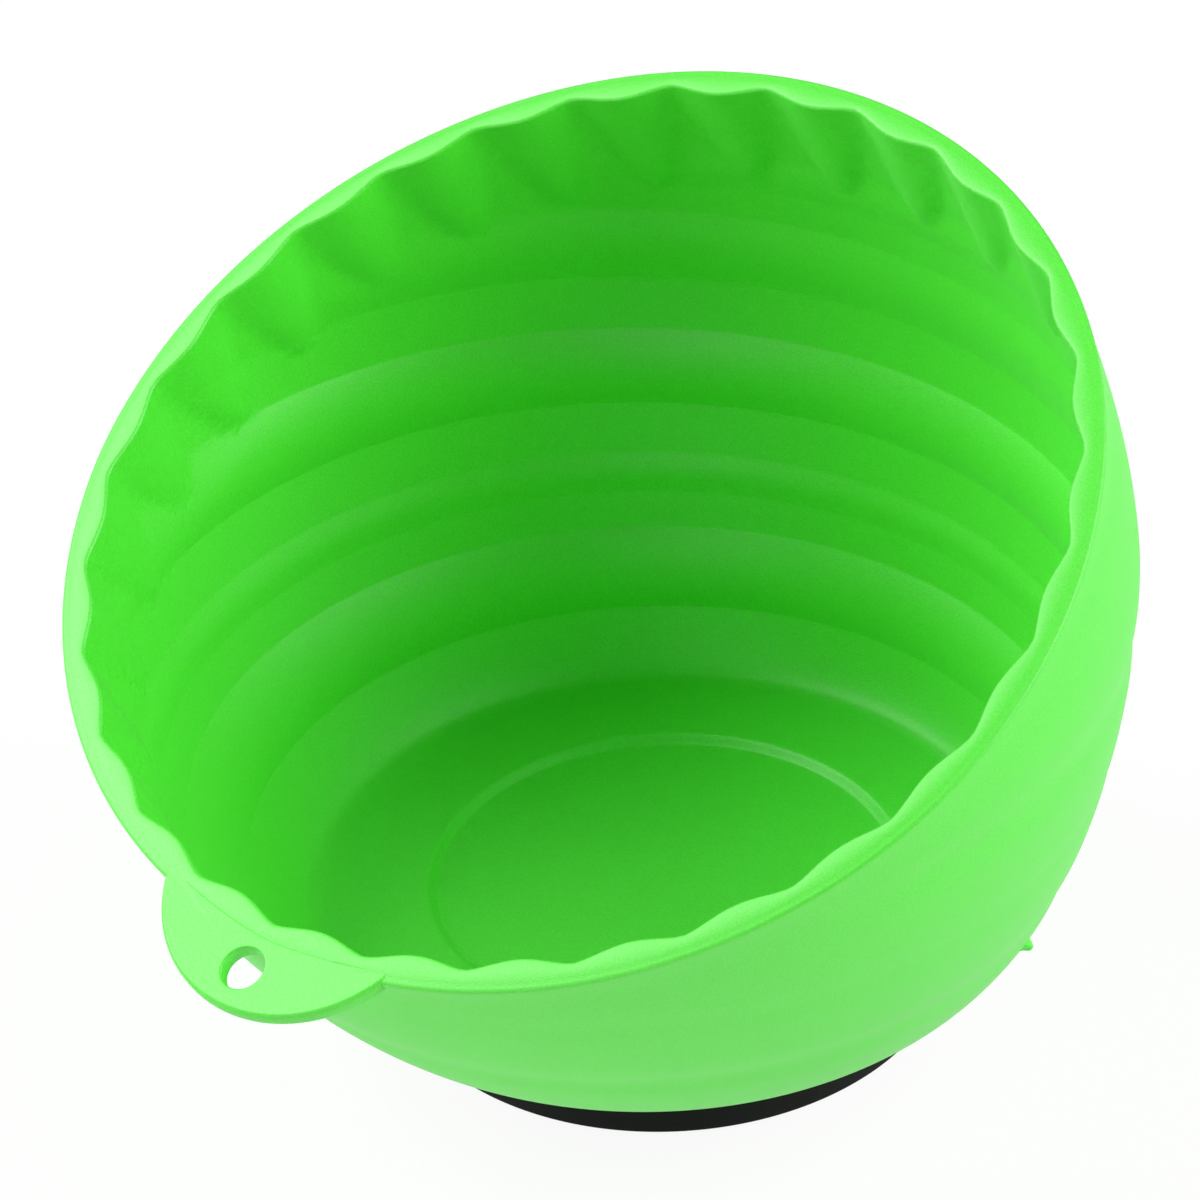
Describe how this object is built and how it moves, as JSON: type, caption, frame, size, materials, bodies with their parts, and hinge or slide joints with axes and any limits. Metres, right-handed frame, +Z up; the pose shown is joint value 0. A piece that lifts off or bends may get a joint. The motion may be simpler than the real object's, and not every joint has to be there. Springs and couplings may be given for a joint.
{
  "type": "magnetic parts bowl",
  "caption": "Leaning moulded plastic bowl with an oblique petalled rim and a hang tab, on a round magnetic base, for holding small steel parts at a workbench.",
  "frame": {"origin": "on the table, under the middle of the round base", "axes": "+Z up, -Y towards the low side of the rim and its hang tab, +X to the right seen from the tab"},
  "size_m": [0.1522, 0.1539, 0.1207],
  "materials": {
    "bowl_plastic": "waxy satin moulding",
    "base_plastic": "satin",
    "ferrite": "ground, dull",
    "plate_steel": "zinc plated",
    "pad_rubber": "matt",
    "screw_steel": "zinc plated"
  },
  "bodies": {
    "root": {"bowl": "bowl_plastic", "base_housing": "base_plastic", "ring_magnet": "ferrite", "pole_plate": "plate_steel", "base_pad": "pad_rubber", "base_screws": "screw_steel"}
  },
  "joints": []
}
